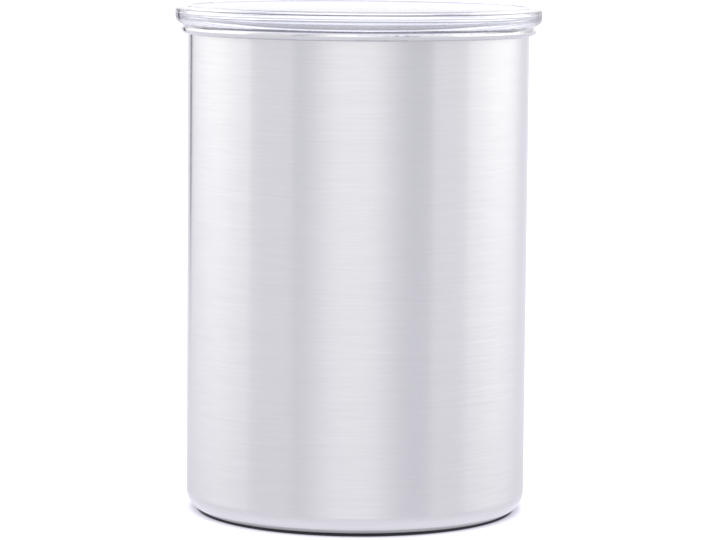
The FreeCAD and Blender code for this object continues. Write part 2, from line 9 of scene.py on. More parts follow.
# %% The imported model
import json
import math

import bmesh
import bpy
from mathutils import Matrix, Vector


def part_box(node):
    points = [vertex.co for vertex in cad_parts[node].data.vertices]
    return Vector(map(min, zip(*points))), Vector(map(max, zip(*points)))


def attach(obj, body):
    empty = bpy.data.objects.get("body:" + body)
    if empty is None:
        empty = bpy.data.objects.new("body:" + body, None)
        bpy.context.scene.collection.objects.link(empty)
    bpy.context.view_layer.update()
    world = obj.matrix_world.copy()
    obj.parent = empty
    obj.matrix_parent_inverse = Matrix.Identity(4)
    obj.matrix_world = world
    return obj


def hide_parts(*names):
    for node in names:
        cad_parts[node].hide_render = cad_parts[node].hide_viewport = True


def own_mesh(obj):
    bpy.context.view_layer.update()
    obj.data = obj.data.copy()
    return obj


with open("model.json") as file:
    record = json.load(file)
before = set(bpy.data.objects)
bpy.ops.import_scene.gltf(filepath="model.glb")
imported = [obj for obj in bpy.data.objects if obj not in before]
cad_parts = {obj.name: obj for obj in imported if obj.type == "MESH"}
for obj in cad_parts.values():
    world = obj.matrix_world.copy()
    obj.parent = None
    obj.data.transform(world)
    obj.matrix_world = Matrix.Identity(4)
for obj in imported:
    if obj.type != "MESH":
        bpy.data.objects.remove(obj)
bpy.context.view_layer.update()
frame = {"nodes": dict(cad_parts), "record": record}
MM = 0.001
print("nodes:", ", ".join(sorted(frame["nodes"])))

# %% [markdown]
# ## Colours and nodes
# Colours are written as hex values, the way a colour picker shows them, and shaders work with
# linear light, so one function turns the first into the second. Another adds a shader node: it
# sets the node's options, then gives each input a plain value or a link. An input is called by
# its name, or by its number where names repeat: a Mix node has an A, a B and a Result for each
# kind of data, and the numbers below are those for colours. Two more functions start a material
# and put a new object in the scene.

# %% Colours and nodes
COLOUR_A, COLOUR_B, COLOUR_RESULT = 6, 7, 2


def linear(hex_colour):
    """Linear RGBA of an sRGB hex colour."""
    channels = [int(hex_colour[start:start + 2], 16) / 255 for start in (1, 3, 5)]
    curve = [c / 12.92 if c <= 0.04045 else ((c + 0.055) / 1.055) ** 2.4 for c in channels]
    return (*curve, 1.0)


def add_node(tree, kind, inputs=None, **options):
    """Add a node, set its options, and give each input a value or a link."""
    node = tree.nodes.new(kind)
    for name, value in options.items():
        setattr(node, name, value)
    for name, value in (inputs or {}).items():
        if isinstance(value, bpy.types.NodeSocket):
            tree.links.new(value, node.inputs[name])
        else:
            node.inputs[name].default_value = value
    return node


def new_material(name):
    """An empty material and its node tree."""
    material = bpy.data.materials.new(name)
    material.use_nodes = True
    material.node_tree.nodes.clear()
    return material, material.node_tree


def add_object(name, data):
    """A new object in the scene."""
    thing = bpy.data.objects.new(name, data)
    bpy.context.scene.collection.objects.link(thing)
    return thing


print("light grey in linear light:", [round(value, 3) for value in linear("#D0D0D0")[:3]])

# %% [markdown]
# ## Brushed stainless steel
# The can is 304 stainless sheet. A belt ran round it, so it has fine scratches that lie level,
# each a couple of centimetres long. They blur a reflection up and down but hardly sideways:
# this is why the wall shows upright bands with crisp edges. Anisotropy does that, with its
# tangent turned round the can's axis. The scratches come from noise that is stretched along the
# wall. Real ones are about 0.05 mm wide, too fine for the picture, so they are drawn coarser.
# Broad swathes, where the belt pressed harder, vary the tone a little.
# The base corner and the rolled rim are smoother: the tools that form them iron the sheet. A fine
# dark line is painted along the rim's crest, strongest at the front and the back and fading at the
# sides. It is painted shade, standing for the shadow in the slit where the lid's flange sits on
# the rim.

# %% Brushed stainless steel
SCRATCH_WIDTH = 0.4 * MM
SCRATCH_LENGTH = 18 * MM
SCRATCH_DEPTH = 0.0015 * MM
SWATHE_WIDTH = 4 * MM
SWATHE_LENGTH = 200 * MM
SWATHE_SHARE = 0.12
WALL_ROUGHNESS = (0.23, 0.29)
ANISOTROPY = 0.97
QUARTER_TURN = 0.25
CORNER_HEIGHT = (2 * MM, 8 * MM)
RIM_HEIGHT = (168.6 * MM, 169.4 * MM)
IRONED = 0.55
# Painted shade: height band and reach of the dark line on the rim's crest, under the lid's flange.
CREST_SHADE_HEIGHT = (171.7 * MM, 172.1 * MM)
CREST_SHADE_REACH = (28 * MM, 48 * MM)

steel, tree = new_material("brushed_stainless_steel_304")
place = add_node(tree, "ShaderNodeTexCoord").outputs["Object"]
scratch_place = add_node(tree, "ShaderNodeMapping", {
    "Vector": place,
    "Scale": (1 / SCRATCH_LENGTH, 1 / SCRATCH_LENGTH, 1 / SCRATCH_WIDTH),
})
scratches = add_node(tree, "ShaderNodeTexNoise", {
    "Vector": scratch_place.outputs["Vector"], "Scale": 1.0, "Detail": 2.0, "Roughness": 0.6,
})
swathe_place = add_node(tree, "ShaderNodeMapping", {
    "Vector": place,
    "Scale": (1 / SWATHE_LENGTH, 1 / SWATHE_LENGTH, 1 / SWATHE_WIDTH),
})
swathes = add_node(tree, "ShaderNodeTexNoise", {
    "Vector": swathe_place.outputs["Vector"], "Scale": 1.0, "Detail": 1.0,
})
brushing = add_node(tree, "ShaderNodeMix", {
    "Factor": SWATHE_SHARE, "A": scratches.outputs["Fac"], "B": swathes.outputs["Fac"],
})
steel_colour = add_node(tree, "ShaderNodeMix", {
    "Factor": brushing.outputs["Result"], COLOUR_A: linear("#D5D5D5"), COLOUR_B: linear("#E4E4E4"),
}, data_type="RGBA")
spot = add_node(tree, "ShaderNodeSeparateXYZ", {0: place})
height = spot.outputs["Z"]
above_corner = add_node(tree, "ShaderNodeMapRange", {
    "Value": height, "From Min": CORNER_HEIGHT[0], "From Max": CORNER_HEIGHT[1], "To Min": IRONED,
})
crest_shade_band = add_node(tree, "ShaderNodeMapRange", {
    "Value": height, "From Min": CREST_SHADE_HEIGHT[0], "From Max": CREST_SHADE_HEIGHT[1],
})
front_or_back = add_node(tree, "ShaderNodeMath", {0: spot.outputs["Y"]}, operation="ABSOLUTE")
crest_shade_reach = add_node(tree, "ShaderNodeMapRange", {
    "Value": front_or_back.outputs["Value"],
    "From Min": CREST_SHADE_REACH[0],
    "From Max": CREST_SHADE_REACH[1],
}, interpolation_type="SMOOTHSTEP")
crest_shade_mask = add_node(tree, "ShaderNodeMath", {
    0: crest_shade_band.outputs["Result"], 1: crest_shade_reach.outputs["Result"],
}, operation="MULTIPLY")
# Painted shade: the steel colour turns grey along the rim's crest, where the lid's flange shades
# it.
crest_shaded_colour = add_node(tree, "ShaderNodeMix", {
    "Factor": crest_shade_mask.outputs["Value"],
    COLOUR_A: steel_colour.outputs[COLOUR_RESULT],
    COLOUR_B: linear("#8C8B91"),
}, data_type="RGBA")
below_rim = add_node(tree, "ShaderNodeMapRange", {
    "Value": height, "From Min": RIM_HEIGHT[0], "From Max": RIM_HEIGHT[1],
    "To Min": 1.0, "To Max": IRONED,
})
brushed_share = add_node(tree, "ShaderNodeMath", {
    0: above_corner.outputs["Result"], 1: below_rim.outputs["Result"],
}, operation="MULTIPLY")
wall_roughness = add_node(tree, "ShaderNodeMapRange", {
    "Value": brushing.outputs["Result"], "To Min": WALL_ROUGHNESS[0], "To Max": WALL_ROUGHNESS[1],
})
steel_roughness = add_node(tree, "ShaderNodeMath", {
    0: wall_roughness.outputs["Result"], 1: brushed_share.outputs["Value"],
}, operation="MULTIPLY")
steel_bump = add_node(tree, "ShaderNodeBump", {
    "Height": scratches.outputs["Fac"], "Strength": 1.0, "Distance": SCRATCH_DEPTH,
})
round_the_can = add_node(tree, "ShaderNodeTangent", direction_type="RADIAL", axis="Z")
steel_surface = add_node(tree, "ShaderNodeBsdfPrincipled", {
    "Base Color": crest_shaded_colour.outputs[COLOUR_RESULT],
    "Metallic": 1.0,
    "Roughness": steel_roughness.outputs["Value"],
    "Normal": steel_bump.outputs["Normal"],
    "Anisotropic": ANISOTROPY,
    "Anisotropic Rotation": QUARTER_TURN,
    "Tangent": round_the_can.outputs["Tangent"],
})
add_node(tree, "ShaderNodeOutputMaterial", {"Surface": steel_surface.outputs["BSDF"]})
print("steel scratches:", SCRATCH_WIDTH / MM, "mm wide,", SCRATCH_LENGTH / MM, "mm long")

# %% [markdown]
# ## Clear moulded lid
# The lid is styrene acrylonitrile (SAN), a hard clear plastic moulded in a polished tool. It
# bends light about as much as glass, and its thick flange gathers pale blue-grey bands of what
# lies behind it. A moulding is never quite flat: a slow ripple a few microns high makes the
# reflected lines swim a little.

# %% Clear moulded lid
RIPPLE_LENGTH = 9 * MM
RIPPLE_HEIGHT = 0.004 * MM

clear_plastic, tree = new_material("clear_san_polished")
place = add_node(tree, "ShaderNodeTexCoord").outputs["Object"]
ripple = add_node(tree, "ShaderNodeTexNoise", {
    "Vector": place, "Scale": 1 / RIPPLE_LENGTH, "Detail": 1.0,
})
ripple_bump = add_node(tree, "ShaderNodeBump", {
    "Height": ripple.outputs["Fac"], "Strength": 1.0, "Distance": RIPPLE_HEIGHT,
})
clear_roughness = add_node(tree, "ShaderNodeMapRange", {
    "Value": ripple.outputs["Fac"], "To Max": 0.02,
})
clear_surface = add_node(tree, "ShaderNodeBsdfPrincipled", {
    "Base Color": linear("#F6F7FD"),
    "Roughness": clear_roughness.outputs["Result"],
    "IOR": 1.57,
    "Transmission Weight": 1.0,
    "Normal": ripple_bump.outputs["Normal"],
})
add_node(tree, "ShaderNodeOutputMaterial", {"Surface": clear_surface.outputs["BSDF"]})
print("lid ripple:", RIPPLE_LENGTH / MM, "mm long")

# %% [markdown]
# ## Charcoal moulded plastic
# The plunger disc and the handle are polypropylene, moulded in a spark-eroded tool. That leaves
# an even grain of small pits, which takes the gloss off and gives a soft grey sheen at glancing
# angles. The grain is a fine noise; a slower one varies the tone a little.

# %% Charcoal moulded plastic
SPARK_GRAIN = 0.35 * MM
PIT_DEPTH = 0.03 * MM
TONE_DRIFT = 14 * MM

charcoal, tree = new_material("charcoal_polypropylene_spark_grain")
place = add_node(tree, "ShaderNodeTexCoord").outputs["Object"]
grain = add_node(tree, "ShaderNodeTexNoise", {
    "Vector": place, "Scale": 1 / SPARK_GRAIN, "Detail": 2.0,
})
drift = add_node(tree, "ShaderNodeTexNoise", {
    "Vector": place, "Scale": 1 / TONE_DRIFT, "Detail": 2.0,
})
charcoal_colour = add_node(tree, "ShaderNodeMix", {
    "Factor": drift.outputs["Fac"], COLOUR_A: linear("#323337"), COLOUR_B: linear("#3D3E43"),
}, data_type="RGBA")
charcoal_roughness = add_node(tree, "ShaderNodeMapRange", {
    "Value": grain.outputs["Fac"], "To Min": 0.42, "To Max": 0.6,
})
charcoal_bump = add_node(tree, "ShaderNodeBump", {
    "Height": grain.outputs["Fac"], "Strength": 0.6, "Distance": PIT_DEPTH,
})
charcoal_surface = add_node(tree, "ShaderNodeBsdfPrincipled", {
    "Base Color": charcoal_colour.outputs[COLOUR_RESULT],
    "Roughness": charcoal_roughness.outputs["Result"],
    "IOR": 1.49,
    "Normal": charcoal_bump.outputs["Normal"],
})
add_node(tree, "ShaderNodeOutputMaterial", {"Surface": charcoal_surface.outputs["BSDF"]})
print("spark grain:", SPARK_GRAIN / MM, "mm")

# %% [markdown]
# ## Black silicone
# The gasket and the two washers are silicone rubber. It is matt and soft looking, and it always
# holds a little dust, which shows as a paler bloom in faint specks.

# %% Black silicone
DUST_SPECK = 0.5 * MM
DUST_HEIGHT = 0.02 * MM
DUSTY = (0.55, 0.8)
DUST_COVER = 0.35

silicone, tree = new_material("black_silicone_rubber")
place = add_node(tree, "ShaderNodeTexCoord").outputs["Object"]
specks = add_node(tree, "ShaderNodeTexNoise", {
    "Vector": place, "Scale": 1 / DUST_SPECK, "Detail": 3.0, "Roughness": 0.7,
})
dust = add_node(tree, "ShaderNodeMapRange", {
    "Value": specks.outputs["Fac"], "From Min": DUSTY[0], "From Max": DUSTY[1],
    "To Max": DUST_COVER,
})
silicone_colour = add_node(tree, "ShaderNodeMix", {
    "Factor": dust.outputs["Result"], COLOUR_A: linear("#1B1B1D"), COLOUR_B: linear("#4A4A4C"),
}, data_type="RGBA")
silicone_bump = add_node(tree, "ShaderNodeBump", {
    "Height": specks.outputs["Fac"], "Strength": 0.4, "Distance": DUST_HEIGHT,
})
silicone_surface = add_node(tree, "ShaderNodeBsdfPrincipled", {
    "Base Color": silicone_colour.outputs[COLOUR_RESULT],
    "Roughness": 0.62,
    "IOR": 1.41,
    "Sheen Weight": 0.15,
    "Normal": silicone_bump.outputs["Normal"],
})
add_node(tree, "ShaderNodeOutputMaterial", {"Surface": silicone_surface.outputs["BSDF"]})
print("dust specks:", DUST_SPECK / MM, "mm")

# %% [markdown]
# ## Natural acetal
# The valve housing, its nut, the button and the cam shaft are acetal, the usual plastic for
# small sliding parts. It is milky white with a satin skin, and light goes a little way in.

# %% Natural acetal
FLOW_MARK = 3 * MM
LIGHT_DEPTH = 0.8 * MM

acetal, tree = new_material("natural_acetal_satin")
place = add_node(tree, "ShaderNodeTexCoord").outputs["Object"]
flow = add_node(tree, "ShaderNodeTexNoise", {
    "Vector": place, "Scale": 1 / FLOW_MARK, "Detail": 3.0, "Distortion": 0.6,
})
acetal_colour = add_node(tree, "ShaderNodeMix", {
    "Factor": flow.outputs["Fac"], COLOUR_A: linear("#DAD8D0"), COLOUR_B: linear("#E9E7E0"),
}, data_type="RGBA")
acetal_roughness = add_node(tree, "ShaderNodeMapRange", {
    "Value": flow.outputs["Fac"], "To Min": 0.3, "To Max": 0.42,
})
acetal_surface = add_node(tree, "ShaderNodeBsdfPrincipled", {
    "Base Color": acetal_colour.outputs[COLOUR_RESULT],
    "Roughness": acetal_roughness.outputs["Result"],
    "IOR": 1.48,
    "Subsurface Weight": 0.15,
    "Subsurface Scale": LIGHT_DEPTH,
})
add_node(tree, "ShaderNodeOutputMaterial", {"Surface": acetal_surface.outputs["BSDF"]})
print("flow marks:", FLOW_MARK / MM, "mm")

# %% [markdown]
# ## Turned and drawn steel
# The stem, the pins, the clip and the spring are small stainless parts, turned or drawn. They
# are brighter than the can, with faint tool marks a few tenths of a millimetre apart.

# %% Turned and drawn steel
TOOL_MARK = 0.3 * MM

turned_steel, tree = new_material("turned_stainless_steel")
place = add_node(tree, "ShaderNodeTexCoord").outputs["Object"]
tool_marks = add_node(tree, "ShaderNodeTexNoise", {
    "Vector": place, "Scale": 1 / TOOL_MARK, "Detail": 2.0,
})
turned_colour = add_node(tree, "ShaderNodeMix", {
    "Factor": tool_marks.outputs["Fac"], COLOUR_A: linear("#C3C4C8"), COLOUR_B: linear("#D8D8DB"),
}, data_type="RGBA")
turned_roughness = add_node(tree, "ShaderNodeMapRange", {
    "Value": tool_marks.outputs["Fac"], "To Min": 0.18, "To Max": 0.3,
})
turned_surface = add_node(tree, "ShaderNodeBsdfPrincipled", {
    "Base Color": turned_colour.outputs[COLOUR_RESULT],
    "Metallic": 1.0,
    "Roughness": turned_roughness.outputs["Result"],
})
add_node(tree, "ShaderNodeOutputMaterial", {"Surface": turned_surface.outputs["BSDF"]})
print("tool marks:", TOOL_MARK / MM, "mm")

# %% [markdown]
# ## Finishes for the rigid pieces
# The record names a finish for every node. Giving each node the material of its finish keeps
# the model's own shapes and changes only how they look.

# %% Finishes for the rigid pieces
FINISHES = {
    "drawn_steel": steel,
    "clear_plastic": clear_plastic,
    "dark_plastic": charcoal,
    "black_silicone": silicone,
    "pale_plastic": acetal,
    "small_steel": turned_steel,
}
for subpart in frame["record"]["subparts"]:
    node = frame["nodes"][subpart["node"]]
    node.data.materials.clear()
    node.data.materials.append(FINISHES[subpart["material_slot"]])
    print(subpart["node"], "->", FINISHES[subpart["material_slot"]].name)

# %% [markdown]
# ## Turned pieces
# The lid and the soft rings are round, so each is one outline turned about the can's axis, and
# one function turns them all. An outline is a list of radius and height in millimetres. It may
# close on itself, as a ring's does, or run from the axis to the axis, as the lid's does. Another
# function gives the points of a rounded corner.

# %% Turned pieces
ARC_STEPS = 10
MERGE_DISTANCE = 0.001 * MM
SHARP_ANGLE = math.radians(30)


def rounded(centre, radius, start, stop):
    """Points round a corner; angles in degrees, 0 outward and 90 upward."""
    steps = range(ARC_STEPS + 1)
    angles = [math.radians(start + (stop - start) * step / ARC_STEPS) for step in steps]
    return [(centre[0] + radius * math.cos(a), centre[1] + radius * math.sin(a)) for a in angles]


def turned(name, outline, steps, closed, material, node, body):
    """Turn an outline about Z into a piece that stands for a node of the model."""
    mesh = bmesh.new()
    points = [mesh.verts.new((r * MM, 0.0, z * MM)) for r, z in outline]
    pairs = list(zip(points, points[1:]))
    if closed:
        pairs.append((points[-1], points[0]))
    edges = [mesh.edges.new(pair) for pair in pairs]
    bmesh.ops.spin(
        mesh, geom=points + edges, axis=(0, 0, 1), angle=2 * math.pi, steps=steps, use_merge=True,
    )
    bmesh.ops.remove_doubles(mesh, verts=mesh.verts, dist=MERGE_DISTANCE)
    bmesh.ops.recalc_face_normals(mesh, faces=mesh.faces)
    data = bpy.data.meshes.new(name)
    mesh.to_mesh(data)
    mesh.free()
    data.shade_smooth()
    data.set_sharp_from_angle(angle=SHARP_ANGLE)
    data.materials.append(material)
    piece = add_object(name, data)
    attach(piece, body)
    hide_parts(node)
    print(name, "stands for", node, "with", len(data.polygons), "faces")
    return piece


# %% [markdown]
# ## Clear lid
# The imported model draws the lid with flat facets. On steel they don't show, but light that runs
# along inside a clear edge leaves each facet at another angle, and the edge fills with dots. So
# the lid is turned again here, to the same outline in finer steps. Its sizes are in millimetres.

# %% Clear lid
LID_STEPS = 720
FLANGE_HEIGHT, FLANGE_ROUND, RIM_ROUND = 5.7, 3.0, 0.7
PANEL_EDGE, PANEL_RISE, PANEL_WALL = 3.8, 0.65, 2.35
LIP_HEIGHT, LIP_WIDTH, LIP_SLOPE, LIP_ROUND = 0.25, 1.0, 0.2, 0.15
PLUG_OUTSIDE, PLUG_WALL, PLUG_ROUND, PLUG_CHAMFER = 59.4, 1.8, 1.2, 0.6

low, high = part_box("outer_lid")
lid_edge, lid_foot, lid_top = high.x / MM, low.z / MM, high.z / MM
panel_top = lid_top - LIP_HEIGHT
crest = panel_top - PANEL_RISE
seat = crest - FLANGE_HEIGHT
ceiling = panel_top - PANEL_WALL
panel = lid_edge - PANEL_EDGE
plug_inside = PLUG_OUTSIDE - PLUG_WALL
lid_outline = [(0.0, ceiling)]
lid_outline += rounded((plug_inside - PLUG_ROUND, ceiling - PLUG_ROUND), PLUG_ROUND, 90, 0)
lid_outline += [
    (plug_inside, lid_foot),
    (PLUG_OUTSIDE - PLUG_CHAMFER, lid_foot),
    (PLUG_OUTSIDE, lid_foot + PLUG_CHAMFER),
    (PLUG_OUTSIDE, seat),
]
lid_outline += rounded((lid_edge - FLANGE_ROUND, seat + FLANGE_ROUND), FLANGE_ROUND, -90, 0)
lid_outline += rounded((lid_edge - RIM_ROUND, crest - RIM_ROUND), RIM_ROUND, 0, 90)
lid_outline += [(panel, crest)]
lid_outline += rounded((panel - LIP_ROUND, lid_top - LIP_ROUND), LIP_ROUND, 0, 90)
lid_outline += [
    (panel - LIP_WIDTH, lid_top),
    (panel - LIP_WIDTH - LIP_SLOPE, panel_top),
    (0.0, panel_top),
]
turned(
    "clear_lid", lid_outline, LID_STEPS, False, clear_plastic, "outer_lid", "lid",
)

# %% [markdown]
# ## Soft rings
# The gasket and the washers are moulded in silicone, so no edge of them is sharp. A bevel rounds
# the edges, which is quicker than drawing every small arc, and the rounding can be changed
# later. The gasket has a band in the disc's groove and two lips that slant upward to the wall,
# thinner towards their edges. Sizes are in millimetres again, and each washer ends with the radius
# of its bore.

# %% Soft rings
RING_STEPS = 160
BEVEL_SEGMENTS = 3
BEVEL_ANGLE = math.radians(25)
GASKET_INNER, GASKET_BAND, GASKET_ROUNDING = 55.55, 2.0, 0.2
SEAL_LIPS = 2
SEAL_START, SEAL_PITCH, SEAL_ROOT, SEAL_TIP, SEAL_RISE = 1.0, 4.2, 1.5, 0.7, 1.2
WASHER_ROUNDING = 0.15
WASHERS = (
    ("flange_washer", "housing_washer", "plunger", 9.9),
    ("poppet_washer", "valve_seal", "valve", 2.03),
)


def soft_ring(name, outline, rounding, node, body):
    """A turned ring of silicone with rounded edges."""
    ring = turned(name, outline, RING_STEPS, True, silicone, node, body)
    bevel = ring.modifiers.new("rounded_edges", "BEVEL")
    bevel.width = rounding * MM
    bevel.segments = BEVEL_SEGMENTS
    bevel.limit_method = "ANGLE"
    bevel.angle_limit = BEVEL_ANGLE
    bevel.harden_normals = True


low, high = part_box("plunger_gasket")
lip_edge, foot, top = high.x / MM, low.z / MM, high.z / MM
band = GASKET_INNER + GASKET_BAND
gasket_outline = [(GASKET_INNER, foot), (band, foot)]
for lip in range(SEAL_LIPS):
    root = foot + SEAL_START + lip * SEAL_PITCH
    gasket_outline += [
        (band, root),
        (lip_edge, root + SEAL_RISE),
        (lip_edge, root + SEAL_RISE + SEAL_TIP),
        (band, root + SEAL_ROOT),
    ]
gasket_outline += [(band, top), (GASKET_INNER, top)]
soft_ring("lip_gasket", gasket_outline, GASKET_ROUNDING, "plunger_gasket", "plunger")

for name, node, body, bore in WASHERS:
    low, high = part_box(node)
    edge, foot, top = high.x / MM, low.z / MM, high.z / MM
    section = [(bore, foot), (edge, foot), (edge, top), (bore, top)]
    soft_ring(name, section, WASHER_ROUNDING, node, body)

# %% [markdown]
# ## Valve spring
# The spring is drawn steel wire wound round the stem between the housing and the button. A
# curve with a round section winds it, and the curve becomes a mesh.

# %% Valve spring
SPRING_TURNS = 4.5
WIRE = 0.6 * MM
POINTS_PER_TURN = 24
WIRE_RESOLUTION = 4

low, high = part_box("valve_spring")
coil_radius = high.x - WIRE / 2
coil_foot = low.z + WIRE / 2
coil_rise = high.z - low.z - WIRE
route = bpy.data.curves.new("spring_route", "CURVE")
route.dimensions = "3D"
route.bevel_depth = WIRE / 2
route.bevel_resolution = WIRE_RESOLUTION
route.use_fill_caps = True
points = round(SPRING_TURNS * POINTS_PER_TURN) + 1
spline = route.splines.new("POLY")
spline.points.add(points - 1)
for number, point in enumerate(spline.points):
    share = number / (points - 1)
    angle = 2 * math.pi * SPRING_TURNS * share
    point.co = (
        coil_radius * math.cos(angle),
        coil_radius * math.sin(angle),
        coil_foot + coil_rise * share,
        1.0,
    )
route_object = add_object("spring_route", route)
spring_mesh = bpy.data.meshes.new_from_object(route_object)
bpy.data.objects.remove(route_object)
for face in spring_mesh.polygons:
    face.use_smooth = True
spring_mesh.materials.clear()
spring_mesh.materials.append(turned_steel)
spring = add_object("coil_spring", spring_mesh)
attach(spring, "plunger")
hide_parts("valve_spring")
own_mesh(spring)

# %% [markdown]
# ## Floor
# The canister stands on a white paper sweep. In the picture the paper is as bright as the
# background, which takes more light than the can's wall may mirror, so the paper glows a little
# for the camera, and farther off also for the clear lid, which looks through to it. It glows for
# mirrored rays close to the can, where the steel throws light down on the paper. Only right
# under the can is the paper dark, which draws the thin line along the base. The light comes from
# behind and from the sides, so that shadow leans to the camera. The floor and the flag further on
# are both flat sheets, so one function makes them. Lengths without MM are in metres.

# %% Floor
FLOOR_HALF = 20.0
SHADOW_LEAN = (0, -2.0 * MM, 0)
DARK_RADIUS = 55.7 * MM
LIT_RADIUS = 57.1 * MM
CLEAR_RADIUS = 62 * MM
MIRRORED_INSET = 1.9 * MM
NEAR_RADIUS = 54 * MM
NEAR_FALLOFF = 5
PAPER_GLOW = 0.45
NEAR_GLOW = 0.57
SHADOW_GLOW = 0.035
FAR_PAPER = (0.4, 1.2)


def flat_sheet(name, corners, material):
    """A four-cornered sheet of one material."""
    sheet = bpy.data.meshes.new(name)
    sheet.from_pydata(corners, [], [(0, 1, 2, 3)])
    sheet.materials.append(material)
    return add_object(name, sheet)


paper, tree = new_material("white_paper_sweep")
place = add_node(tree, "ShaderNodeTexCoord").outputs["Object"]
away = add_node(tree, "ShaderNodeVectorMath", {
    0: place, 1: SHADOW_LEAN,
}, operation="DISTANCE").outputs["Value"]
lit = add_node(tree, "ShaderNodeMapRange", {
    "Value": away, "From Min": DARK_RADIUS, "From Max": LIT_RADIUS,
}, interpolation_type="SMOOTHSTEP")
paper_colour = add_node(tree, "ShaderNodeMix", {
    "Factor": lit.outputs["Result"], COLOUR_A: linear("#1A1930"), COLOUR_B: linear("#DDDCE3"),
}, data_type="RGBA")
clear_of_foot = add_node(tree, "ShaderNodeMapRange", {
    "Value": away, "From Min": DARK_RADIUS, "From Max": CLEAR_RADIUS,
    "To Min": SHADOW_GLOW, "To Max": PAPER_GLOW,
}, interpolation_type="SMOOTHSTEP")
nearness = add_node(tree, "ShaderNodeMath", {0: NEAR_RADIUS, 1: away}, operation="DIVIDE")
near_can = add_node(tree, "ShaderNodeMath", {
    0: nearness.outputs["Value"], 1: NEAR_FALLOFF,
}, operation="POWER")
mirrored_lit = add_node(tree, "ShaderNodeMapRange", {
    "Value": away,
    "From Min": DARK_RADIUS - MIRRORED_INSET,
    "From Max": LIT_RADIUS - MIRRORED_INSET,
    "To Max": NEAR_GLOW,
}, interpolation_type="SMOOTHSTEP")
near_lit = add_node(tree, "ShaderNodeMath", {
    0: near_can.outputs["Value"], 1: mirrored_lit.outputs["Result"],
}, operation="MULTIPLY")
ray = add_node(tree, "ShaderNodeLightPath")
far_lit = add_node(tree, "ShaderNodeMapRange", {
    "Value": away, "From Min": FAR_PAPER[0], "From Max": FAR_PAPER[1], "To Max": PAPER_GLOW,
}, interpolation_type="SMOOTHSTEP")
indirect = add_node(tree, "ShaderNodeMix", {
    "Factor": ray.outputs["Is Transmission Ray"],
    "A": near_lit.outputs["Value"],
    "B": far_lit.outputs["Result"],
})
glow = add_node(tree, "ShaderNodeMix", {
    "Factor": ray.outputs["Is Camera Ray"],
    "A": indirect.outputs["Result"],
    "B": clear_of_foot.outputs["Result"],
})
paper_surface = add_node(tree, "ShaderNodeBsdfPrincipled", {
    "Base Color": paper_colour.outputs[COLOUR_RESULT],
    "Roughness": 0.9,
    "Specular IOR Level": 0.0,
    "Emission Color": linear("#F7F7FF"),
    "Emission Strength": glow.outputs["Result"],
})
add_node(tree, "ShaderNodeOutputMaterial", {"Surface": paper_surface.outputs["BSDF"]})
sides = ((-1, -1), (1, -1), (1, 1), (-1, 1))
floor = flat_sheet("white_sweep", [(x * FLOOR_HALF, y * FLOOR_HALF, 0.0) for x, y in sides], paper)
print("floor:", 2 * FLOOR_HALF, "m square")

# %% [markdown]
# ## Studio light
# A cylinder of brushed steel shows its studio as upright bands, because each strip of wall
# mirrors one direction. So the studio is a ring of tall panels round the can, drawn in the
# world's light. Each panel is given by four angles, counted from the camera and positive
# rightward: its light rises between the first two, holds, and falls between the last two. The
# fifth number is how bright it is. A broad light hangs overhead, and behind the set the ceiling is
# dark, which draws the lines in the lid's edge. The background that the camera sees is white.

# %% Studio light
ROOM_LEVEL = 0.685
OVERHEAD_LEVEL = 0.70
PANEL_TOP = (math.sin(math.radians(40)), math.sin(math.radians(65)))
DARK_CEILING = 0.6
CEILING_FOOT = (math.sin(math.radians(14)), math.sin(math.radians(32)))
CEILING_SIDES = (0.6, 0.85)
PANELS = (
    ("left softbox", -159, -138, -77.5, -75.5, 0.835),
    ("left softbox, middle", -150, -120, -112, -80, 0.50),
    ("left fill", -77, -75, -45, -43, 0.34),
    ("lamp over the camera", -43, -8, 4, 40, 0.80),
    ("lamp, left wing", -46, -40, -30, -5, 0.06),
    ("right fill", 50, 53, 78.5, 81, 0.42),
    ("right softbox", 78, 81, 128, 161, 0.86),
    ("right softbox, middle", 80, 114, 120, 146, 0.56),
    ("backdrop, right half", 155, 164, 180, 181, 0.45),
    ("backdrop, left half", -181, -180, -166, -158, 0.45),
)

world = bpy.data.worlds.new("white_studio")
bpy.context.scene.world = world
world.use_nodes = True
tree = world.node_tree
tree.nodes.clear()
way = add_node(tree, "ShaderNodeTexCoord").outputs["Generated"]
part = add_node(tree, "ShaderNodeSeparateXYZ", {0: way})
toward_camera = add_node(tree, "ShaderNodeMath", {
    0: part.outputs["Y"], 1: -1.0,
}, operation="MULTIPLY")
turn = add_node(tree, "ShaderNodeMath", {
    0: part.outputs["X"], 1: toward_camera.outputs["Value"],
}, operation="ARCTAN2")
degrees = add_node(tree, "ShaderNodeMath", {
    0: turn.outputs["Value"], 1: math.degrees(1),
}, operation="MULTIPLY").outputs["Value"]
total = None
for name, start, full, fading, end, level in PANELS:
    rise = add_node(tree, "ShaderNodeMapRange", {
        "Value": degrees, "From Min": start, "From Max": full, "To Max": level,
    }, interpolation_type="SMOOTHSTEP", label=name)
    fall = add_node(tree, "ShaderNodeMapRange", {
        "Value": degrees, "From Min": fading, "From Max": end, "To Min": 1.0, "To Max": 0.0,
    }, interpolation_type="SMOOTHSTEP", label=name)
    total = add_node(tree, "ShaderNodeMath", {
        0: rise.outputs["Result"], 1: fall.outputs["Result"], 2: total or 0.0,
    }, operation="MULTIPLY_ADD").outputs["Value"]
below_top = add_node(tree, "ShaderNodeMapRange", {
    "Value": part.outputs["Z"], "From Min": PANEL_TOP[0], "From Max": PANEL_TOP[1],
    "To Min": 1.0, "To Max": 0.0,
}, interpolation_type="SMOOTHSTEP")
panel_light = add_node(tree, "ShaderNodeMath", {
    0: total, 1: below_top.outputs["Result"],
}, operation="MULTIPLY")
panels = add_node(tree, "ShaderNodeBackground", {
    "Color": linear("#FFFEF6"), "Strength": panel_light.outputs["Value"],
})
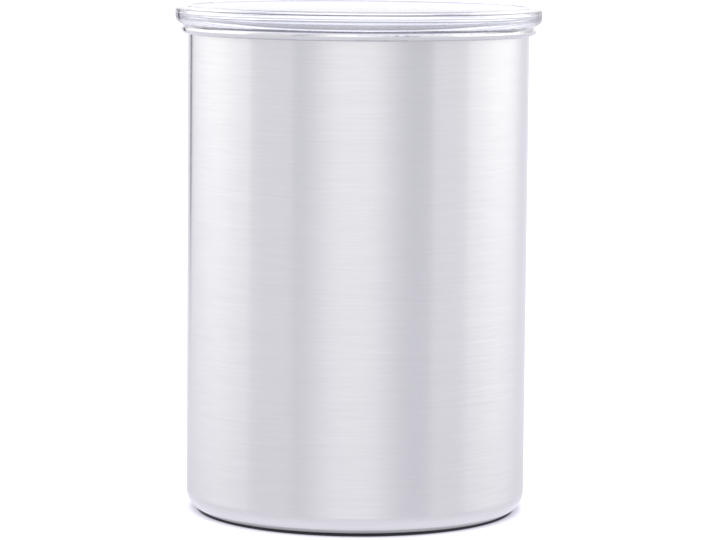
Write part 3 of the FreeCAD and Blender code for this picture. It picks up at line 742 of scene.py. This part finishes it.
room_light = add_node(tree, "ShaderNodeMapRange", {
    "Value": part.outputs["Z"], "From Min": PANEL_TOP[0], "From Max": PANEL_TOP[1],
    "To Min": ROOM_LEVEL, "To Max": ROOM_LEVEL + OVERHEAD_LEVEL,
}, interpolation_type="SMOOTHSTEP")
high_up = add_node(tree, "ShaderNodeMapRange", {
    "Value": part.outputs["Z"], "From Min": CEILING_FOOT[0], "From Max": CEILING_FOOT[1],
}, interpolation_type="SMOOTHSTEP")
behind = add_node(tree, "ShaderNodeMapRange", {
    "Value": part.outputs["Y"], "From Min": CEILING_SIDES[0], "From Max": CEILING_SIDES[1],
    "To Max": -DARK_CEILING,
}, interpolation_type="SMOOTHSTEP")
room_under_ceiling = add_node(tree, "ShaderNodeMath", {
    0: high_up.outputs["Result"], 1: behind.outputs["Result"], 2: room_light.outputs["Result"],
}, operation="MULTIPLY_ADD")
room = add_node(tree, "ShaderNodeBackground", {
    "Color": linear("#F7F7FF"), "Strength": room_under_ceiling.outputs["Value"],
})
studio = add_node(tree, "ShaderNodeAddShader", {
    0: room.outputs["Background"], 1: panels.outputs["Background"],
})
white = add_node(tree, "ShaderNodeBackground", {"Color": linear("#FFFFFF"), "Strength": 1.0})
ray = add_node(tree, "ShaderNodeLightPath")
seen = add_node(tree, "ShaderNodeMixShader", {
    0: ray.outputs["Is Camera Ray"], 1: studio.outputs["Shader"], 2: white.outputs["Background"],
})
add_node(tree, "ShaderNodeOutputWorld", {"Surface": seen.outputs["Shader"]})
print("studio:", len(PANELS), "panels round the can")

# %% [markdown]
# ## Black flag
# A photographer stands a narrow black card behind a bright object on white, so that a thin dark
# line marks the edge of its wall. This one stands behind the can to the left. Only mirrored
# rays see it: the camera and the clear lid look past it.

# %% Black flag
FLAG_ANGLE = math.radians(-151)
FLAG_AWAY = 1.0
FLAG_HALF_WIDTH = 0.045
FLAG_HEIGHT = 0.25

black, tree = new_material("black_card")
card_surface = add_node(tree, "ShaderNodeBsdfPrincipled", {
    "Base Color": linear("#0A0A0C"), "Roughness": 0.9,
})
add_node(tree, "ShaderNodeOutputMaterial", {"Surface": card_surface.outputs["BSDF"]})
outward = Vector((math.sin(FLAG_ANGLE), -math.cos(FLAG_ANGLE), 0))
along = outward.cross(Vector((0, 0, 1))) * FLAG_HALF_WIDTH
left, right = outward * FLAG_AWAY - along, outward * FLAG_AWAY + along
upward = Vector((0, 0, FLAG_HEIGHT))
flag = flat_sheet("black_flag", [left, right, right + upward, left + upward], black)
flag.visible_camera = False
flag.visible_diffuse = False
flag.visible_transmission = False
flag.visible_shadow = False
print("flag:", 2 * FLAG_HALF_WIDTH, "m wide,", FLAG_AWAY, "m away")

# %% [markdown]
# ## Light inside clear plastic
# Light that enters the lid's edge runs along the moulding and is mirrored inside it many times
# before it comes out. Cycles stops a path after a few mirrorings unless it is told otherwise,
# and the edge would turn black.

# %% Light inside clear plastic
LID_MIRRORINGS = 32

cycles = bpy.context.scene.cycles
cycles.max_bounces = LID_MIRRORINGS
cycles.glossy_bounces = LID_MIRRORINGS
cycles.transmission_bounces = LID_MIRRORINGS
print("mirrorings followed:", LID_MIRRORINGS)

# %% [markdown]
# ## Camera
# A long lens from a little above the rim, pitched down to the middle of the can. The level, the
# pitch and a slight roll were fitted to the wall's edges, the rim and the base line. The two
# angles are in radians.

# %% Camera
IMAGE_WIDTH = 716
SENSOR_WIDTH = 36.0
FOCAL_PIXELS = 3346.8
CAMERA_PLACE = Vector((0.455, -1184.94, 220.65)) * MM
PITCH = 0.1139
ROLL = 0.0086

lens = bpy.data.cameras.new("long_lens")
lens.sensor_width = SENSOR_WIDTH
lens.lens = FOCAL_PIXELS / IMAGE_WIDTH * SENSOR_WIDTH
camera = add_object("camera", lens)
camera.matrix_world = (
    Matrix.Translation(CAMERA_PLACE)
    @ Matrix.Rotation(math.pi / 2 - PITCH, 4, "X")
    @ Matrix.Rotation(ROLL, 4, "Z")
)
bpy.context.scene.camera = camera
bpy.context.scene.view_settings.view_transform = "Standard"
print("lens:", round(lens.lens, 1), "mm")
